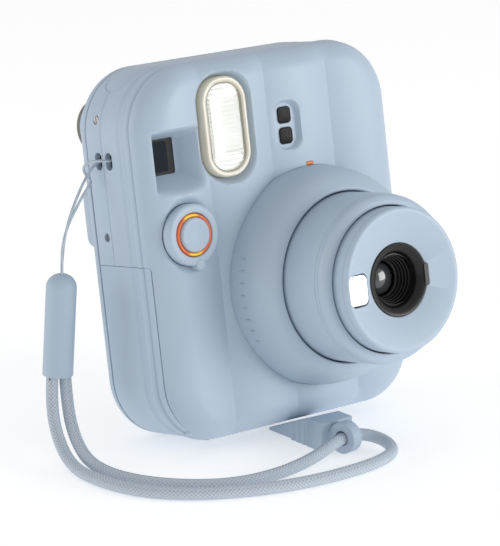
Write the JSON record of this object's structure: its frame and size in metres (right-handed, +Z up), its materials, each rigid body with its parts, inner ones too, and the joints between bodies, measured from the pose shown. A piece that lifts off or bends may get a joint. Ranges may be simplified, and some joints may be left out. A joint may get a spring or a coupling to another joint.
{
  "type": "instant camera",
  "caption": "Compact instant film camera with a twist-out lens, lobed front, flash, finder, back and battery doors, standing on the angle wedge of its wrist strap.",
  "frame": {"origin": "middle of the footprint of the camera without its strap, on the surface that it stands on", "axes": "+Z up, -Y towards the lens side, +X to the right as the front is faced; the body leans back 10 degrees about X"},
  "size_m": [0.1355, 0.1058, 0.1248],
  "materials": {
    "shell_blue": "fine satin moulded plastic",
    "soft_blue": "soft-touch moulded plastic",
    "cord_fabric": "braided polyester",
    "black_plastic": "matte black moulding",
    "smoked_window": "polished dark window",
    "clear_window": "clear optical plastic",
    "lens_glass": "coated lens",
    "cream_plastic": "translucent cream moulding",
    "warm_grey_plastic": "soft warm grey moulding",
    "orange_plastic": "translucent orange to yellow",
    "white_plastic": "white moulding",
    "mirror": "metallised plastic",
    "steel": "plain steel",
    "brass": "plain brass",
    "battery_wrap": "plain cell wrapper",
    "circuit_green": "solder mask"
  },
  "bodies": {
    "casing": {"front_cover": "shell_blue", "rear_housing": "shell_blue", "rear_top_cover": "shell_blue", "back_door_hinge_ears": "shell_blue", "back_door_hinge_pin": "steel", "battery_tray": "black_plastic", "battery_outer": "battery_wrap", "battery_inner": "battery_wrap", "battery_contacts": "steel", "side_screws": "steel", "bottom_feet": "shell_blue", "eyepiece_ring": "warm_grey_plastic", "eyepiece_lens": "clear_window", "viewfinder_tube": "black_plastic", "viewfinder_window": "smoked_window", "flash_bezel": "cream_plastic", "flash_window": "clear_window", "flash_reflector": "mirror", "flash_tube": "white_plastic", "flash_capacitor": "black_plastic", "sensor_window_upper": "smoked_window", "sensor_window_lower": "smoked_window", "index_mark": "orange_plastic", "glow_ring": "orange_plastic", "lens_guide_tube": "black_plastic", "exposure_frame": "black_plastic", "film_pack": "black_plastic", "roller_bearings": "steel", "motor": "steel", "gear_bracket": "steel", "top_trim": "shell_blue", "flap_pin": "steel", "main_board": "circuit_green", "strap_cap": "soft_blue", "strap_thread": "cord_fabric", "strap_braid": "cord_fabric", "angle_wedge": "soft_blue"},
    "back_door": {"back_door": "shell_blue", "film_pack_window": "clear_window", "counter_bridge": "black_plastic", "pack_springs": "steel"},
    "back_door_latch": {"back_door_latch": "shell_blue"},
    "counter_dial": {"counter_dial": "white_plastic"},
    "battery_door": {"battery_door": "shell_blue"},
    "timer_lever": {"timer_lever": "shell_blue"},
    "shutter_button": {"shutter_button": "shell_blue"},
    "lens_ring": {"lens_ring": "shell_blue"},
    "outer_barrel": {"outer_barrel": "shell_blue"},
    "inner_barrel": {"inner_barrel": "shell_blue", "lens_bezel": "black_plastic", "front_lens_element": "lens_glass", "shutter_plate": "black_plastic", "selfie_mirror": "mirror"},
    "shutter_blade": {"shutter_blade": "black_plastic"},
    "drive_roller": {"drive_roller": "steel"},
    "pinch_roller": {"pinch_roller": "steel"},
    "idler_gear": {"idler_gear": "white_plastic"},
    "motor_pinion": {"motor_pinion": "brass"},
    "film_exit_flap": {"film_exit_flap": "shell_blue"}
  },
  "joints": [
    {"name": "lens_ring_turn", "type": "hinge", "parent": "casing", "child": "lens_ring", "pos_m": [0.0131, -0.01427, 0.05346], "axis": [0, -0.9848, 0.1736], "range_deg": [-60, 15]},
    {"name": "outer_barrel_slide", "type": "slide", "parent": "casing", "child": "outer_barrel", "axis": [0, -0.9848, 0.1736], "range_m": [-0.016, 0.004]},
    {"name": "inner_barrel_slide", "type": "slide", "parent": "outer_barrel", "child": "inner_barrel", "axis": [0, -0.9848, 0.1736], "range_m": [-0.005, 0.00125]},
    {"name": "shutter_blade_swing", "type": "hinge", "parent": "inner_barrel", "child": "shutter_blade", "pos_m": [0.0051, -0.0324, 0.04853], "axis": [0, -0.9848, 0.1736], "range_deg": [0, 58], "stiffness_Nm_per_rad": 0.0002, "springref_deg": -11.46},
    {"name": "shutter_button_press", "type": "slide", "parent": "casing", "child": "shutter_button", "axis": [0, 0.9848, -0.1736], "range_m": [0, 0.001], "stiffness_N_per_m": 400, "springref_m": -0.0006},
    {"name": "timer_lever_turn", "type": "hinge", "parent": "casing", "child": "timer_lever", "pos_m": [-0.0373, -0.00069, 0.0729], "axis": [0, 0.9848, -0.1736], "range_deg": [0, 35]},
    {"name": "back_door_swing", "type": "hinge", "parent": "casing", "child": "back_door", "pos_m": [0.0503, 0.02982, 0.053], "axis": [0, 0.1736, 0.9848], "range_deg": [-105, 0]},
    {"name": "back_door_latch_slide", "type": "slide", "parent": "back_door", "child": "back_door_latch", "axis": [0, -0.1736, -0.9848], "range_m": [0, 0.0015], "stiffness_N_per_m": 200, "springref_m": -0.0005},
    {"name": "counter_dial_turn", "type": "hinge", "parent": "back_door", "child": "counter_dial", "pos_m": [-0.012, 0.02615, 0.02927], "axis": [0, 0.9848, -0.1736], "range_deg": [0, 330]},
    {"name": "battery_door_slide", "type": "slide", "parent": "casing", "child": "battery_door", "axis": [-1, 0, 0], "range_m": [0, 0.01]},
    {"name": "film_exit_flap_swing", "type": "hinge", "parent": "casing", "child": "film_exit_flap", "pos_m": [0, 0.0299, 0.12081], "axis": [1, 0, 0], "range_deg": [0, 75], "stiffness_Nm_per_rad": 0.0008, "springref_deg": -17.19},
    {"name": "drive_roller_spin", "type": "hinge", "parent": "casing", "child": "drive_roller", "pos_m": [0.0452, 0.02789, 0.10715], "axis": [1, 0, 0], "continuous": true},
    {"name": "pinch_roller_spin", "type": "hinge", "parent": "casing", "child": "pinch_roller", "pos_m": [0.0452, 0.03321, 0.10621], "axis": [1, 0, 0], "continuous": true},
    {"name": "idler_gear_spin", "type": "hinge", "parent": "casing", "child": "idler_gear", "pos_m": [0.0452, 0.02126, 0.10251], "axis": [1, 0, 0], "continuous": true},
    {"name": "motor_pinion_spin", "type": "hinge", "parent": "casing", "child": "motor_pinion", "pos_m": [0.0452, 0.01985, 0.09453], "axis": [1, 0, 0], "continuous": true}
  ],
  "couplings": [
    {"joint": "outer_barrel_slide", "follows": "lens_ring_turn", "m_per_rad": 0.015279},
    {"joint": "inner_barrel_slide", "follows": "lens_ring_turn", "m_per_rad": 0.0047746},
    {"joint": "pinch_roller_spin", "follows": "drive_roller_spin", "ratio": -1},
    {"joint": "idler_gear_spin", "follows": "drive_roller_spin", "ratio": -0.5},
    {"joint": "motor_pinion_spin", "follows": "drive_roller_spin", "ratio": 1}
  ]
}
